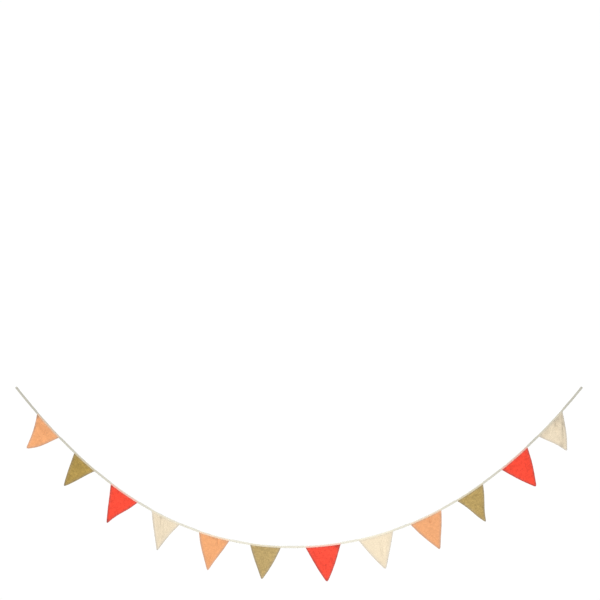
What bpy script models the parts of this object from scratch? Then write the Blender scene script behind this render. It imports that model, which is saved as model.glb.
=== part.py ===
"""Fabric bunting: twelve triangular pennants held in a folded cotton tape that hangs by its ends.

Units are metres, +Z is up, X runs along the span and -Y faces the viewer.
The origin is the tape's left tied end. The short tables are in millimetres.
"""

import math
from collections import namedtuple

import bmesh
import bpy
import numpy as np
from mathutils import Vector

MM = 0.001

# The line in which the tape hangs
SPAN = 2.520  # straight from one tied end to the other
CATENARY = 1.210  # the hanging curve's own length, which sets its sag
LINE_STEPS = 4000  # fine steps that the curve's length is summed over

# The tape: a strip folded lengthwise over the pennants' top edges
TAPE_WIDTH = 0.010  # folded, from the crown of the fold to its two hems
TAKEN_UP = 0.0012  # of that width where the fold goes round a pennant
LEAF = 0.0010  # thickness of each of its two leaves
LEAF_GAP = 0.0004  # between the leaves where no pennant parts them
MOUTH_CLEARANCE = 0.0020  # the leaves are fully parted this far past a pennant's corner
MOUTH_TAPER = 0.0100  # and close again over this length
MOUTH_STEPS = 5  # lengths of tape between the corners of one pennant
GAP_STATIONS = 2  # sections of bare tape between two mouths
END_STATIONS = 5  # sections of bare tape in each tie
CROWN_ANGLES = (45.0, 90.0, 135.0)  # degrees, where the fold's round top is sampled

# The pennants
CLOTH = 0.0016  # thickness of one pennant, two layers of cloth
CLEARANCE = 0.0003  # between a pennant and each leaf
TOP_LEVEL = 0.0055  # from the tape's middle down to where a pennant's own outline starts
TUCK = 0.0070  # how far its cloth reaches up from there, into the tape
TIP_CUT = 0.055  # share of the drop by which the turned tip is blunter than its edges' crossing
TIP_ROUND = 0.0022  # bulge of the blunt tip's own end
TIP_SHARPNESS = 8  # power by which that bulge keeps to the last stretch of the drop
RELEASE = 0.20  # share of the drop over which the tape lets the cloth out of its own line
COLUMNS = 12  # cells across one pennant
ROWS = 10  # cells from the tape's hem to the tip
CREASE_ANGLE = math.radians(50)  # edges sharper than this are shaded sharp

# Slow waves that the tape makes beside its catenary: half waves along the span, height, depth
Wave = namedtuple("Wave", "half_waves height depth")
WAVES = (
    Wave(2, -8.7, 8.0),
    Wave(3, -4.9, -6.0),
    Wave(5, 0.0, 4.0),
    Wave(8, 0.0, 2.0),
)

# One row a pennant: where it starts along the tape, its width there, how far its edges' crossing
# hangs below its top and how far that lies to the right of its middle, how each edge bows out
# and waves between corner and tip, how far its edges curl back, and how far its tip stands back.
Pennant = namedtuple(
    "Pennant",
    "colour start width drop shift left_bow left_wave right_bow right_wave curl lean",
)
PENNANTS = (
    Pennant("peach", 154, 141, 141, 7.5, -6, 0, 9, -1.5, 5, 8),
    Pennant("olive", 393, 119.5, 142, 3, 2, -0.5, 1.5, -1, 5, -7),
    Pennant("coral", 606.5, 143, 157, 12.5, 1, -0.5, -2.5, 2.5, -2, 10),
    Pennant("cream", 824, 136.5, 149, 30.5, 1, 0.5, -4, -0.5, -4, -9),
    Pennant("peach", 1054, 139, 157, 14, 4, 1, -0.5, 1, -3, 6),
    Pennant("olive", 1288, 136, 150.5, -3, 1.5, 0.5, 5, 0, -6, -6),
    Pennant("coral", 1535, 155.5, 165, 1.5, 3, -0.5, 4.5, -0.5, -7, 9),
    Pennant("cream", 1773.5, 157.5, 155.5, 1, 3.5, 0, 1, 0, 2, -8),
    Pennant("peach", 2014.5, 149.5, 158.5, -4, 4, 0.5, 2, 1, 2, 7),
    Pennant("olive", 2246.5, 135.5, 149, -13, -1, -2, -1, 2, 3, -9),
    Pennant("coral", 2488, 150.5, 160, -9.5, 3.5, 0, 5, 0.5, 8, 8),
    Pennant("cream", 2709.5, 151.5, 135.5, -39, -4.5, 1.5, 6.5, -0.5, 9, -6),
)

# One row a fold: its pennant, its place across the cloth at the top and at the foot, its half
# width (shares of the pennant's width), how far it would stand out at the top (it narrows and
# flattens with the cloth), and where down the cloth it starts and is deepest (shares of the drop).
Fold = namedtuple("Fold", "pennant top foot spread rise start crest")
FOLDS = (
    Fold(1, 0.80, 0.90, 0.14, 2.0, 0.00, 0.25),
    Fold(1, 0.45, 0.55, 0.16, -2.0, 0.05, 0.45),
    Fold(1, 0.95, 0.90, 0.35, 7.0, 0.30, 0.70),
    Fold(2, 0.00, 0.05, 0.36, 8.0, 0.00, 0.20),
    Fold(2, 0.72, 0.75, 0.20, 3.0, 0.10, 0.50),
    Fold(3, 0.62, 0.45, 0.22, 3.0, 0.10, 0.55),
    Fold(4, 0.22, 0.30, 0.11, 1.4, 0.00, 0.22),
    Fold(4, 0.44, 0.50, 0.11, -1.6, 0.00, 0.35),
    Fold(4, 0.66, 0.72, 0.14, 1.6, 0.00, 0.35),
    Fold(5, 0.40, 0.35, 0.18, 2.2, 0.10, 0.50),
    Fold(5, 0.78, 0.80, 0.14, -3.0, 0.05, 0.40),
    Fold(6, 0.68, 0.70, 0.20, -2.5, 0.00, 0.30),
    Fold(6, 0.25, 0.35, 0.18, 1.5, 0.10, 0.50),
    Fold(7, 0.30, 0.45, 0.20, 4.0, 0.10, 0.50),
    Fold(7, 0.72, 0.60, 0.16, 3.5, 0.05, 0.35),
    Fold(8, 0.50, 0.42, 0.12, 2.2, 0.00, 0.45),
    Fold(8, 0.67, 0.62, 0.10, -1.8, 0.00, 0.45),
    Fold(8, 0.83, 0.78, 0.12, 1.6, 0.00, 0.30),
    Fold(9, 0.58, 0.56, 0.10, -2.0, 0.00, 0.18),
    Fold(9, 0.30, 0.45, 0.18, 3.0, 0.10, 0.55),
    Fold(10, 0.78, 0.70, 0.18, 2.5, 0.00, 0.28),
    Fold(10, 0.45, 0.40, 0.16, -2.0, 0.05, 0.40),
    Fold(11, 0.55, 0.55, 0.24, 4.0, 0.10, 0.55),
    Fold(12, 1.00, -0.10, 0.24, 10.0, 0.00, 0.28),
    Fold(12, 0.62, 0.25, 0.10, -3.0, 0.00, 0.25),
    Fold(12, 0.36, 0.10, 0.14, 2.5, 0.05, 0.40),
)

COLOURS = {
    "peach": (0.93, 0.41, 0.17),
    "olive": (0.46, 0.32, 0.08),
    "coral": (0.98, 0.08, 0.04),
    "cream": (0.87, 0.76, 0.56),
}
TAPE_COLOUR = (0.86, 0.82, 0.73)
CLOTH_ROUGHNESS = 0.85


class HangingLine:
    """The middle line of the tape, by the length run along it from its left end."""

    def __init__(self):
        self.x = np.linspace(0.0, SPAN, LINE_STEPS + 1)
        self.z = CATENARY * (
            np.cosh((self.x - SPAN / 2) / CATENARY) - math.cosh(SPAN / 2 / CATENARY)
        )
        self.y = np.zeros_like(self.x)
        for wave in WAVES:
            along = np.sin(wave.half_waves * math.pi * self.x / SPAN)
            self.z += wave.height * MM * along
            self.y += wave.depth * MM * along
        steps = np.hypot(np.diff(self.x), np.diff(self.z))
        self.run = np.concatenate([[0.0], np.cumsum(steps)])
        self.length = float(self.run[-1])

    def point(self, run, down=0.0, back=0.0):
        """A point beside the line: down square to it in its own plane, and back along +Y."""
        x, y, z = (float(np.interp(run, self.run, axis)) for axis in (self.x, self.y, self.z))
        reach = self.length / LINE_STEPS
        before, after = run - reach, run + reach
        along_x = float(np.interp(after, self.run, self.x) - np.interp(before, self.run, self.x))
        along_z = float(np.interp(after, self.run, self.z) - np.interp(before, self.run, self.z))
        size = math.hypot(along_x, along_z)
        return Vector((x + down * along_z / size, y + back, z - down * along_x / size))


def smooth_step(value):
    """0 to 1 with level ends."""
    value = min(max(value, 0.0), 1.0)
    return value * value * (3.0 - 2.0 * value)


def cloth_material(name, colour):
    material = bpy.data.materials.new(name)
    material.use_nodes = True
    shader = material.node_tree.nodes["Principled BSDF"]
    shader.inputs["Base Color"].default_value = (*colour, 1.0)
    shader.inputs["Roughness"].default_value = CLOTH_ROUGHNESS
    shader.inputs["Metallic"].default_value = 0.0
    return material


def sheet_object(name, columns, rows, place, thickness, material, collection):
    """A grid of cloth, put in place point by point and thickened evenly to both sides.

    place(column, row) gives the point of the cloth's middle surface, row 0 being its first edge.
    """
    mesh = bpy.data.meshes.new(name)
    grid = bmesh.new()
    half = 0.5
    bmesh.ops.create_grid(grid, x_segments=columns, y_segments=rows, size=half)
    for vertex in grid.verts:
        column = round((vertex.co.x + half) * columns)
        row = round((half - vertex.co.y) * rows)
        vertex.co = place(column, row)
    grid.to_mesh(mesh)
    grid.free()
    mesh.shade_smooth()
    mesh.set_sharp_from_angle(angle=CREASE_ANGLE)
    mesh.materials.append(material)
    sheet = bpy.data.objects.new(name, mesh)
    collection.objects.link(sheet)
    solid = sheet.modifiers.new("Thickness", "SOLIDIFY")
    solid.thickness = thickness
    solid.offset = 0.0
    solid.use_even_offset = True
    return sheet


def mouth_opening(run):
    """How far the leaves are parted at this length along the tape: 0 closed, 1 on a pennant."""
    opening = 0.0
    for pennant in PENNANTS:
        first = pennant.start * MM - MOUTH_CLEARANCE
        last = (pennant.start + pennant.width) * MM + MOUTH_CLEARANCE
        past = max(first - run, run - last, 0.0)
        opening = max(opening, 1.0 - smooth_step(past / MOUTH_TAPER))
    return opening


def tape_stations(line):
    """Lengths along the tape where it has a section, on each pennant and on the bare tape."""
    stations = []
    bare_from = 0.0
    inner = END_STATIONS
    for pennant in PENNANTS:
        start = pennant.start * MM
        end = start + pennant.width * MM
        taper_out = start - MOUTH_CLEARANCE - MOUTH_TAPER
        stations += list(np.linspace(bare_from, taper_out, inner + 2))
        stations += [start - MOUTH_CLEARANCE - MOUTH_TAPER / 2, start - MOUTH_CLEARANCE]
        stations += list(np.linspace(start, end, MOUTH_STEPS + 1))
        stations += [end + MOUTH_CLEARANCE, end + MOUTH_CLEARANCE + MOUTH_TAPER / 2]
        bare_from = end + MOUTH_CLEARANCE + MOUTH_TAPER
        inner = GAP_STATIONS
    stations += list(np.linspace(bare_from, line.length, END_STATIONS + 2))
    return stations


def tape_section(opening):
    """The folded leaf's middle line, front hem to back hem, as (down, back) from the tape's own."""
    closed = (LEAF_GAP + LEAF) / 2
    parted = CLOTH / 2 + CLEARANCE + LEAF / 2
    half_gap = closed + (parted - closed) * opening
    crown = -TAPE_WIDTH / 2 + TAKEN_UP * opening + LEAF / 2
    section = [(TAPE_WIDTH / 2, -half_gap), (crown + half_gap, -half_gap)]
    for degrees in CROWN_ANGLES:
        angle = math.radians(degrees)
        section.append(
            (crown + half_gap * (1 - math.sin(angle)), -half_gap * math.cos(angle))
        )
    section += [(crown + half_gap, half_gap), (TAPE_WIDTH / 2, half_gap)]
    return section


def make_tape(line, collection):
    stations = tape_stations(line)
    sections = [tape_section(mouth_opening(run)) for run in stations]

    def place(column, row):
        down, back = sections[column][row]
        return line.point(stations[column], down, back)

    material = cloth_material("tape_cotton", TAPE_COLOUR)
    rows = len(sections[0]) - 1
    return sheet_object("tape", len(stations) - 1, rows, place, LEAF, material, collection)


class PennantShape:
    """The middle surface of one pennant as it hangs, by its place across and down the cloth."""

    def __init__(self, line, number):
        self.line = line
        self.row = PENNANTS[number - 1]
        self.folds = [fold for fold in FOLDS if fold.pennant == number]
        self.start = self.row.start * MM
        self.width = self.row.width * MM
        self.left = line.point(self.start, TOP_LEVEL)
        self.right = line.point(self.start + self.width, TOP_LEVEL)
        chord = self.right - self.left
        chord.y = 0.0
        self.across = chord.normalized()
        self.down = Vector((self.across.z, 0.0, -self.across.x))
        self.middle = (self.left + self.right) / 2
        self.crossing = (
            self.middle + self.down * self.row.drop * MM + self.across * self.row.shift * MM
        )

    def edge(self, corner, bow, wave, fall):
        """A point of a side edge, fall being 0 at the corner and 1 where the edges cross."""
        run = self.crossing - corner
        run.y = 0.0
        outward = Vector((run.z, 0.0, -run.x)).normalized()
        if outward.dot(corner - self.middle) < 0:
            outward = -outward
        bulge = bow * math.sin(math.pi * fall) + wave * math.sin(2 * math.pi * fall)
        return corner + run * fall + outward * bulge * MM

    def depth(self, across, fall):
        """How far the cloth stands back from the tape's own line."""
        free = smooth_step(fall / RELEASE)
        depth = self.row.curl * (2 * across - 1) ** 2 * (1.0 - fall) + self.row.lean * fall
        for fold in self.folds:
            centre = fold.top + (fold.foot - fold.top) * fall
            rise = smooth_step((fall - fold.start) / (fold.crest - fold.start))
            ease = 1.0 - smooth_step((fall - fold.crest) / (1.0 - fold.crest))
            ridge = math.exp(-(((across - centre) / fold.spread) ** 2))
            depth -= fold.rise * (1.0 - fall) * rise * ease * ridge
        return depth * free * MM

    def place(self, column, row):
        """Row 0 is the raw edge inside the tape, row 1 just below its hem, and the last the tip."""
        across = column / COLUMNS
        run = self.start + across * self.width
        if row == 0:
            return self.line.point(run, TOP_LEVEL - TUCK)
        hem = self.line.point(run, TOP_LEVEL)
        share = (row - 1) / ROWS
        fall = share * (1.0 - TIP_CUT)
        left = self.edge(self.left, self.row.left_bow, self.row.left_wave, fall)
        right = self.edge(self.right, self.row.right_bow, self.row.right_wave, fall)
        point = left.lerp(right, across)
        point += (hem - self.left.lerp(self.right, across)) * (1.0 - fall)
        round_end = TIP_ROUND * (1.0 - (2 * across - 1) ** 2) * share**TIP_SHARPNESS
        point += self.down * round_end
        point.y = hem.y + (self.middle.y - hem.y) * fall + self.depth(across, fall)
        return point


def make_pennant(line, number, collection):
    shape = PennantShape(line, number)
    colour = shape.row.colour
    name = f"pennant_{number:02d}_{colour}"
    material = cloth_material(f"{name}_cloth", COLOURS[colour])
    return sheet_object(name, COLUMNS, ROWS + 1, shape.place, CLOTH, material, collection)


def clear_scene():
    for scene_object in list(bpy.data.objects):
        bpy.data.objects.remove(scene_object, do_unlink=True)


def main():
    clear_scene()
    collection = bpy.data.collections.new("fabric_bunting")
    bpy.context.scene.collection.children.link(collection)
    line = HangingLine()
    pieces = [make_tape(line, collection)]
    for number in range(1, len(PENNANTS) + 1):
        pieces.append(make_pennant(line, number, collection))
    hanger = bpy.data.objects.new("left_tied_end", None)
    collection.objects.link(hanger)
    for piece in pieces:
        piece.parent = hanger


main()
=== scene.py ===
"""The looks of the fabric bunting: twelve turned cloth pennants sewn into a folded cotton tape.

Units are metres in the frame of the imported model, and the short tables are in millimetres.
X runs along the span, -Y faces the viewer and +Z is up.
"""

import math
from collections import namedtuple

import bmesh
import bpy
import numpy as np
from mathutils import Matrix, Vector, noise


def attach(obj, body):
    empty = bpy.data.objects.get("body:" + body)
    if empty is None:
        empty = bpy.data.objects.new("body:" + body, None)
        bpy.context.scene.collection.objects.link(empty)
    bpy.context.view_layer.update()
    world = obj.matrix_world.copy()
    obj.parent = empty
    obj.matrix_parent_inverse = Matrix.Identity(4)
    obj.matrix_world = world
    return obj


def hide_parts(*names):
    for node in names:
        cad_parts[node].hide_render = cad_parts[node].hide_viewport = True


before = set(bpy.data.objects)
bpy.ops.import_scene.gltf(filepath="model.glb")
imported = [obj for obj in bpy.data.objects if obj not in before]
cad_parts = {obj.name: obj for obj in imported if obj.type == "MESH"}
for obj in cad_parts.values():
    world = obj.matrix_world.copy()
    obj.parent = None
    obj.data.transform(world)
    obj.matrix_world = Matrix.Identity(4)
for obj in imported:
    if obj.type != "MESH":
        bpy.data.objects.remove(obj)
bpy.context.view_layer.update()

MM = 0.001
BODY = "root"


def table(kind, *rows):
    """A table's rows, each as the kind of tuple that names its columns."""
    return [kind(*row) for row in rows]


# Unevenness: how much, in waves of what length, and where in the noise it is read
Uneven = namedtuple("Uneven", "size length seed")

# The line in which the tape hangs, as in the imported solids: a catenary with a few slow waves
SPAN = 2.520  # straight from one tied end to the other
CATENARY = 1.210  # the hanging curve's own length, which sets its sag
LINE_STEPS = 4000  # fine steps that the curve's length is summed over
Wave = namedtuple("Wave", "half_waves height depth")
WAVES = table(
    Wave,
    (2, -8.7, 8.0),
    (3, -4.9, -6.0),
    (5, 0.0, 4.0),
    (8, 0.0, 2.0),
)

# The tape: a strip with both long edges turned in, folded over the pennants' top edges
TAPE_WIDTH = 0.0100  # folded, from the crown of the fold to its two hems
TAKEN_UP = 0.0012  # of that width where the fold goes round a pennant
TAPE_CLOTH = 0.00042  # one layer
TURN_IN = 0.0075  # how far up inside the tape its raw edges reach
TURN_GAP = 0.00008  # between the outer layer and the turned-in one
SHUT_HALF_GAP = 0.00015  # from the middle to either leaf on bare tape
LEAF_CLEARANCE = 0.00006  # between either leaf and a pennant that parts them
TAPE_STEP = 0.0040  # length of one cell along the tape
MOUTH_CLEARANCE = 0.0020  # the leaves are fully parted this far past a pennant's corner
MOUTH_TAPER = 0.0100  # and close again over this length
RIPPLE = Uneven(0.00022, 0.013, 5.0)  # how far the hems bulge out of the tape's own plane
WANDER = Uneven(0.00030, 0.021, 9.1)  # how far the whole tape wanders up and down
TWIST = Uneven(math.radians(7), 0.055, 3.7)  # most that the bare tape turns about its own line
TIE_TWIST = math.radians(16)  # and most that a free end turns

# Where the folded section has its points: shares of its straight layers, and angles round its hem
# and towards its crown
TURNED_IN_SHARES = (0.0, 0.35, 0.7, 1.0)
HEM_ANGLES = np.radians((50.0, 90.0, 130.0))
OUTER_SHARES = (0.0, 0.16, 0.32, 0.48, 0.64, 0.82, 1.0)
CROWN_ANGLES = np.radians((25.0, 50.0, 75.0))

# The sewing along the tape
STITCH_PITCH = 0.0030
STITCH_LENGTH = 0.0025
STITCH_INSET = 0.0019  # from the hems up to the line of stitches
THREAD_HALF = 0.00019  # half the thread's thickness
THREAD_LIFT = 0.00010  # how far a stitch's middle stands off the cloth
STITCH_JITTER = 0.00012  # how far a stitch strays from its line
STITCH_TILT = 0.06  # and how much it slants
STITCH_SEEDS = {-1: 11, 1: 12}  # of those random strays, on the front and on the back
STITCH_POWER = 4  # how square a stitch is towards its ends
STITCH_NARROW = 0.96  # how far round that curve it goes
STITCH_RINGS = 5
STITCH_SIDES = 6

# The pennants: two layers of cloth sewn face to face along two sides and turned
TOP_LEVEL = 0.0055  # from the tape's middle down to where a pennant's own outline starts
TUCK = 0.0070  # how far its cloth reaches up from there, into the tape
TIP_CUT = 0.055  # share of the drop by which the turned tip is blunter than its edges' crossing
TIP_ROUND = 0.0022  # bulge of the blunt tip's own end
TIP_SHARPNESS = 8  # power by which that bulge keeps to the last stretch of the drop
TIP_LENGTH = 0.0045  # the stretch over which the tip's own end is rounded off
TIP_NARROW = 0.93  # how far round that end's curve goes
RELEASE = 0.20  # share of the drop over which the tape lets the cloth out of its own line
HALF_CLOTH = 0.00050  # half of two layers
SEAM_RISE = 0.00028  # what the turned-in seam allowance adds to that
SEAM_ALLOWANCE = 0.0048  # how wide the allowance lies inside the edge
SEAM_FADE = 0.0016  # and over what width it levels off
EDGE_ROUND = 0.0009  # radius of the turned edge
TIP_RISE = 0.00022  # what the bunched allowances add at the tip
TIP_BUNCH = 0.012  # and over what length
SEAM_START = 0.004  # length under the tape over which the seams' extra thickness sets in
CREASE_START = 0.006  # and over which the finer creases do
CORNER_HOLD = 0.05  # share of the drop over which the sewn edges start to wander
ROWS = 74  # even rows of cells from the tape's hem to the tip
TIP_ROWS = (0.975, 0.983, 0.989, 0.994, 0.998, 1.0)  # shares of the drop for the last rows
TUCKED_ROWS = (-1.0, -0.6, -0.25)  # shares of the tuck for the rows inside the tape
EDGE_COLUMNS = (0.0, 0.15, 0.45, 0.9, 1.8, 3.0, 4.4, 5.6, 7.2)  # millimetres from a side edge
EDGE_COLUMNS_SHARE = 0.42  # most of a row's width that they take on either side
MIDDLE_COLUMNS = 48  # even cells between the two sides' edge columns

# One row a pennant, as in the imported solids: where it starts along the tape, its width and drop,
# how far its tip lies off its middle, how its side edges bow and wave, and how far its corners
# curl back and its tip leans back. Then its own look: shade darkens the dye, partly as the pennant's
# own colour and partly as painted shade where it hangs turned from the light, and fade pales it
Pennant = namedtuple(
    "Pennant",
    "colour start width drop shift left_bow left_wave right_bow right_wave curl lean shade fade",
)
PENNANTS = table(
    Pennant,
    ("peach", 154, 141, 141, 7.5, -6, 0, 9, -1.5, 5, 8, 0.98, 0.000),
    ("olive", 393, 119.5, 142, 3, 2, -0.5, 1.5, -1, 5, -7, 0.90, 0.000),
    ("coral", 606.5, 143, 157, 12.5, 1, -0.5, -2.5, 2.5, -2, 10, 1.00, 0.000),
    ("cream", 824, 136.5, 149, 30.5, 1, 0.5, -4, -0.5, -4, -9, 0.97, 0.000),
    ("peach", 1054, 139, 157, 14, 4, 1, -0.5, 1, -3, 6, 1.00, 0.000),
    ("olive", 1288, 136, 150.5, -3, 1.5, 0.5, 5, 0, -6, -6, 0.98, 0.065),
    ("coral", 1535, 155.5, 165, 1.5, 3, -0.5, 4.5, -0.5, -7, 9, 1.00, 0.006),
    ("cream", 1773.5, 157.5, 155.5, 1, 3.5, 0, 1, 0, 2, -8, 1.00, 0.000),
    ("peach", 2014.5, 149.5, 158.5, -4, 4, 0.5, 2, 1, 2, 7, 0.97, 0.010),
    ("olive", 2246.5, 135.5, 149, -13, -1, -2, -1, 2, 3, -9, 0.93, 0.035),
    ("coral", 2488, 150.5, 160, -9.5, 3.5, 0, 5, 0.5, 8, 8, 1.00, 0.000),
    ("cream", 2709.5, 151.5, 135.5, -39, -4.5, 1.5, 6.5, -0.5, 9, -6, 0.91, 0.012),
)

# One row a fold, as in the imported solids: its pennant, its place across the cloth at the top and
# at the foot, its half width (shares of the width), how far it would stand out at the top (it
# narrows and flattens with the cloth), and where down the cloth it starts and is deepest
Fold = namedtuple("Fold", "pennant top foot spread rise start crest")
FOLDS = table(
    Fold,
    (1, 0.80, 0.90, 0.14, 2.0, 0.00, 0.25),
    (1, 0.45, 0.55, 0.16, -2.0, 0.05, 0.45),
    (1, 0.95, 0.90, 0.35, 7.0, 0.30, 0.70),
    (2, 0.00, 0.05, 0.36, 8.0, 0.00, 0.20),
    (2, 0.72, 0.75, 0.20, 3.0, 0.10, 0.50),
    (3, 0.62, 0.45, 0.22, 3.0, 0.10, 0.55),
    (4, 0.22, 0.30, 0.11, 1.4, 0.00, 0.22),
    (4, 0.44, 0.50, 0.11, -1.6, 0.00, 0.35),
    (4, 0.66, 0.72, 0.14, 1.6, 0.00, 0.35),
    (5, 0.40, 0.35, 0.18, 2.2, 0.10, 0.50),
    (5, 0.78, 0.80, 0.14, -3.0, 0.05, 0.40),
    (6, 0.68, 0.70, 0.20, -2.5, 0.00, 0.30),
    (6, 0.25, 0.35, 0.18, 1.5, 0.10, 0.50),
    (7, 0.30, 0.45, 0.20, 4.0, 0.10, 0.50),
    (7, 0.72, 0.60, 0.16, 3.5, 0.05, 0.35),
    (8, 0.50, 0.42, 0.12, 2.2, 0.00, 0.45),
    (8, 0.67, 0.62, 0.10, -1.8, 0.00, 0.45),
    (8, 0.83, 0.78, 0.12, 1.6, 0.00, 0.30),
    (9, 0.58, 0.56, 0.10, -2.0, 0.00, 0.18),
    (9, 0.30, 0.45, 0.18, 3.0, 0.10, 0.55),
    (10, 0.78, 0.70, 0.18, 2.5, 0.00, 0.28),
    (10, 0.45, 0.40, 0.16, -2.0, 0.05, 0.40),
    (11, 0.55, 0.55, 0.24, 4.0, 0.10, 0.55),
    (12, 1.00, -0.10, 0.24, 10.0, 0.00, 0.28),
    (12, 0.62, 0.25, 0.10, -3.0, 0.00, 0.25),
    (12, 0.36, 0.10, 0.14, 2.5, 0.05, 0.40),
)

# Finer creases than the solids hold, one a row: the pennant, where the crease starts and ends
# (shares across and down the cloth), its half width, how far it stands out (a trough where that
# is negative), and how far its middle bows across its own line
Crease = namedtuple("Crease", "pennant x0 y0 x1 y1 half_width rise bow")
CREASES = table(
    Crease,
    (1, 0.12, 0.14, 0.75, 0.24, 6.0, -3.0, 1),
    (1, 0.66, 0.30, 0.82, 0.66, 5.0, 1.4, 2),
    (1, 0.10, 0.20, 0.12, 0.80, 3.5, 0.5, 1),
    (2, 0.02, 0.03, 0.02, 0.36, 14.0, 2.6, 0),
    (2, 0.18, 0.06, 0.62, 0.14, 3.0, -0.8, 1),
    (2, 0.62, 0.32, 0.50, 0.70, 5.0, 0.9, 1),
    (3, 0.25, 0.16, 0.90, 0.34, 5.0, 0.9, 2),
    (3, 0.60, 0.45, 0.40, 0.75, 4.0, 0.6, -2),
    (4, 0.12, 0.00, 0.22, 0.62, 3.2, 0.5, 1),
    (4, 0.29, 0.00, 0.33, 0.26, 4.0, 1.5, 1),
    (4, 0.42, 0.00, 0.52, 0.45, 3.2, 0.6, 1),
    (4, 0.57, 0.02, 0.70, 0.40, 3.2, 0.5, 1),
    (4, 0.85, 0.45, 0.66, 0.88, 4.0, 1.3, 0),
    (5, 0.64, 0.01, 0.72, 0.19, 4.0, -2.8, 1),
    (5, 0.36, 0.00, 0.42, 0.10, 3.2, -1.4, 0),
    (5, 0.45, 0.50, 0.40, 0.80, 4.5, 0.8, 1),
    (6, 0.03, 0.05, 0.62, 0.06, 3.0, -1.8, -1),
    (6, 0.62, 0.48, 0.78, 0.72, 4.0, 1.1, 1),
    (6, 0.30, 0.20, 0.36, 0.60, 4.0, 0.6, 2),
    (7, 0.10, 0.07, 0.70, 0.12, 2.6, -0.9, -2),
    (7, 0.10, 0.14, 0.30, 0.50, 4.5, 1.4, 2),
    (7, 0.76, 0.18, 0.84, 0.52, 4.5, 1.8, 1),
    (7, 0.52, 0.40, 0.46, 0.72, 4.5, 1.4, -1),
    (8, 0.52, 0.02, 0.46, 0.55, 3.2, 0.6, 1),
    (8, 0.68, 0.00, 0.62, 0.62, 3.0, -0.5, 1),
    (8, 0.82, 0.00, 0.76, 0.62, 3.2, 0.7, -1),
    (8, 0.94, 0.02, 0.92, 0.40, 3.0, -0.6, -1),
    (9, 0.56, 0.00, 0.61, 0.22, 4.2, -3.2, 1),
    (9, 0.20, 0.12, 0.60, 0.55, 4.0, 0.5, 4),
    (10, 0.58, 0.11, 0.92, 0.22, 3.6, -3.0, -3),
    (10, 0.80, 0.30, 0.70, 0.75, 4.0, 0.8, 0),
    (11, 0.30, 0.12, 0.60, 0.55, 5.0, 1.0, 4),
    (11, 0.78, 0.10, 0.62, 0.50, 4.0, 0.9, -2),
    (12, 0.90, 0.00, 0.45, 0.70, 7.0, 1.6, 2),
    (12, 0.70, 0.00, 0.52, 0.34, 4.5, -3.6, 1),
    (12, 0.80, 0.02, 0.66, 0.36, 3.0, 0.7, 1),
    (12, 0.97, 0.05, 0.86, 0.60, 3.0, -1.2, -1),
    (12, 0.60, 0.05, 0.20, 0.30, 3.0, 0.6, -2),
    (12, 0.02, 0.74, 0.70, 0.86, 4.0, -2.4, 0),
)
CREASE_SLOPE = 3.0  # how steeply a crease rises from its ends, over its own length
CREASE_END = 0.25  # how far up that slope its ends are

# Small unevenness, which each pennant has from its own part of the noise
PUCKER = Uneven(0.00038, 0.0085, 0.0)  # of the sewn side edges, in and out of the cloth
PUCKER_REACH = 0.0060  # how far it reaches in from the edge
GATHER = Uneven(0.00045, 0.0075, 1.7)  # of the cloth just under the tape
GATHER_REACH = 0.0110
CRUMPLE = Uneven(0.00060, 0.034, 0.0)  # soft waves all over
RUMPLE = Uneven(0.00016, 0.011, 9.0)  # and smaller ones on them
EDGE_WANDER = Uneven(0.00035, 0.016, 10.0)  # how far the sewn outline strays
PENNANT_SEED = 3.3  # between the parts of two neighbours
PENNANT_APART = 0.31  # and between their places in the weave's own noise
REAR_APART = 0.05  # and between those of a front and its rear

# The weaves: from thread to thread, how the threads are turned, and how uneven their colour is
Weave = namedtuple("Weave", "pitch turn slub")
PENNANT_WEAVE = Weave(0.00058, 0.0, 0.10)
TAPE_WEAVE = Weave(0.00040, math.radians(45), 0.06)
WAVER_SCALE = 70.0  # bends of the threads to a metre
WAVER_DETAIL = 2.0
WAVER_ACROSS = 1.6  # how many threads wide they are across the cloth
WAVER_DOWN = -1.3  # and down it
THREAD_APART = 3.71  # from the unevenness of one thread to that of the next
THREAD_CHANGE = 0.045  # and along one thread, for each one that it crosses
WEAVE_PAINTED_SHADES = (0.86, 1.05)  # painted shade in the gaps between the threads, and painted light on top of them
THREAD_DEPTH = 0.00010  # of those gaps
HEIGHT_RELIEF = 0.8  # share of that depth that a thread's own roundness has
SLUB_RELIEF = 0.5  # and that its uneven thickness has
RELIEF_STRENGTH = 0.7
CLOTH_ROUGHNESS = (0.78, 0.98)  # of the darkest threads, and of the lightest
CLOTH_SHEEN = 0.12
CLOTH_SHEEN_ROUGHNESS = 0.5
CLOTH_SPECULAR = 0.25

# The dyes: colour as linear light, how uneven it lies in streaks along the threads and in small
# blotches, and how much darker and greyer painted shade makes it on the sewn edges and under the tape
Dye = namedtuple("Dye", "red green blue streaks blotches edge_dark edge_grey")
DYES_AND_EDGE_SHADES = {
    "peach": Dye(0.785, 0.357, 0.154, 0.15, 0.13, 0.15, 0.27),
    "olive": Dye(0.424, 0.286, 0.072, 0.32, 0.28, 0.16, 0.28),
    "coral": Dye(0.845, 0.060, 0.030, 0.28, 0.26, 0.30, 0.20),
    "cream": Dye(0.764, 0.652, 0.480, 0.03, 0.02, 0.15, 0.30),
}
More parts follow.
